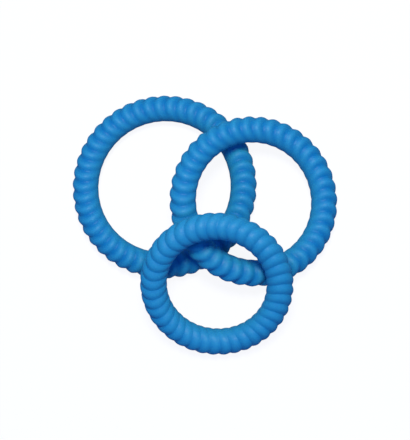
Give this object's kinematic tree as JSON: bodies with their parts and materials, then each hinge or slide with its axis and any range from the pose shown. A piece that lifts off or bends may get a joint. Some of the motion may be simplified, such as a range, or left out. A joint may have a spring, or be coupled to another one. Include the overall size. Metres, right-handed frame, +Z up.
{
  "type": "juggling ring set",
  "caption": "Soft juggling rings of round section in graduated sizes, grooved all round like rope, lying in a loose pile with each ring free to lift off.",
  "frame": {"origin": "middle of the pile's box in plan, on the table that the rings lie on", "axes": "+Z up from the table, which is also the axis of the large ring lying flat; +X to the side where the medium ring comes down to the table; +Y away from the small ring"},
  "size_m": [0.257, 0.2526, 0.0822],
  "materials": {
    "blue_silicone": "matte silicone"
  },
  "bodies": {
    "large_ring": {"large_ring": "blue_silicone"},
    "medium_ring": {"medium_ring": "blue_silicone"},
    "small_ring": {"small_ring": "blue_silicone"}
  },
  "joints": [
    {"name": "medium_ring_lift", "type": "slide", "parent": "large_ring", "child": "medium_ring", "axis": [0, 0, 1], "range_m": [0, 0.1]},
    {"name": "small_ring_lift", "type": "slide", "parent": "medium_ring", "child": "small_ring", "axis": [0, 0, 1], "range_m": [0, 0.1]}
  ]
}
